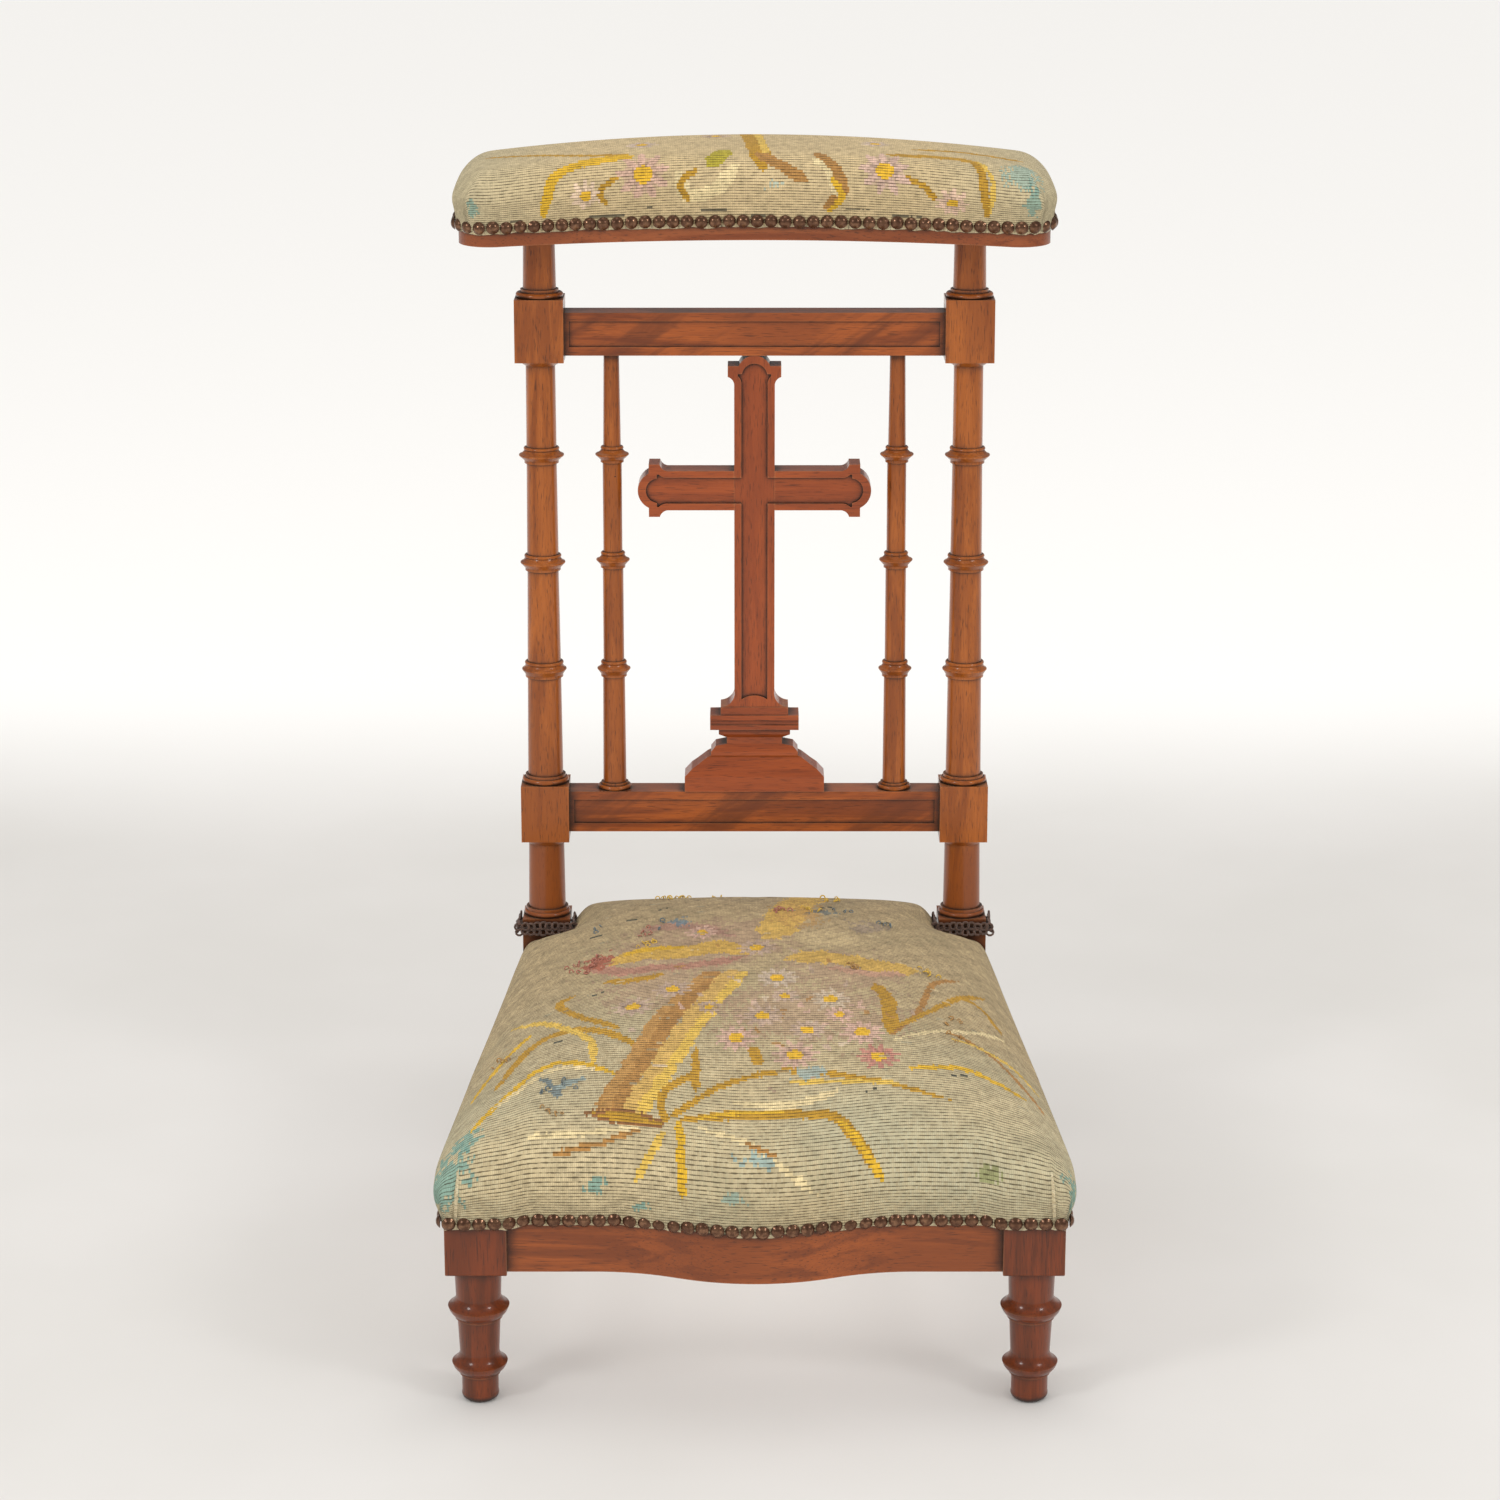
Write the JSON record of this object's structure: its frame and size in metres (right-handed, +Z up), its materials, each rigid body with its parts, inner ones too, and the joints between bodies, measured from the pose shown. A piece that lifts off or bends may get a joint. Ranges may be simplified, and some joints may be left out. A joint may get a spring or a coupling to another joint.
{
  "type": "prayer chair",
  "caption": "Low walnut prayer chair: upholstered kneeling seat, turned posts, cross in the back and a crescent elbow pad, both covered in nailed needlepoint.",
  "frame": {"origin": "on the floor, in the middle of the box round the chair", "axes": "+X to the right as one looks at the front, +Y towards the back, +Z up"},
  "size_m": [0.4596, 0.5795, 0.8338],
  "materials": {
    "walnut_frame": "satin French polish, worn, with dark grime in the recesses",
    "walnut_back": "satin French polish over straight grain, darker beside the rings",
    "walnut_cross": "satin French polish, reddish, grime along the sunk panel",
    "beech_hidden": "raw, unpolished",
    "steel_screws": "dull old steel",
    "blued_tacks": "blued",
    "jute_webbing": "coarse woven jute with two dark stripes",
    "hessian": "open plain weave",
    "horsehair": "loose curled fibre",
    "calico": "cream cotton, aged",
    "needlepoint_seat": "ribbed wool needlepoint, grey-green ground with flowers, worn",
    "needlepoint_elbow": "ribbed wool needlepoint, grey-green ground with flowers, worn",
    "brass_nails": "antiqued bronze-brown domes, polished on top",
    "gimp_braid": "dark brown looped braid"
  },
  "bodies": {
    "root": {"corner_block_front_left": "beech_hidden", "corner_block_front_right": "beech_hidden", "corner_block_rear_left": "beech_hidden", "corner_block_rear_right": "beech_hidden", "corner_block_screws": "steel_screws", "cross_arm": "walnut_cross", "cross_dowels": "beech_hidden", "cross_pedestal": "walnut_cross", "cross_upright": "walnut_cross", "elbow_board": "walnut_back", "elbow_calico": "calico", "elbow_cover": "needlepoint_elbow", "elbow_nails_back": "brass_nails", "elbow_nails_front": "brass_nails", "elbow_stuffing": "horsehair", "front_leg_left": "walnut_frame", "front_leg_right": "walnut_frame", "front_seat_rail": "walnut_frame", "lower_back_rail": "walnut_back", "post_gimp_left": "gimp_braid", "post_gimp_right": "gimp_braid", "rear_post_left": "walnut_back", "rear_post_right": "walnut_back", "rear_seat_rail": "walnut_frame", "seat_calico": "calico", "seat_cover": "needlepoint_seat", "seat_hessian": "hessian", "seat_nails_front": "brass_nails", "seat_nails_left": "brass_nails", "seat_nails_rear": "brass_nails", "seat_nails_right": "brass_nails", "seat_stuffing": "horsehair", "side_seat_rail_left": "walnut_frame", "side_seat_rail_right": "walnut_frame", "spindle_left": "walnut_back", "spindle_right": "walnut_back", "upper_back_rail": "walnut_back", "webbing_cross": "jute_webbing", "webbing_long": "jute_webbing", "webbing_tacks": "blued_tacks"}
  },
  "joints": []
}
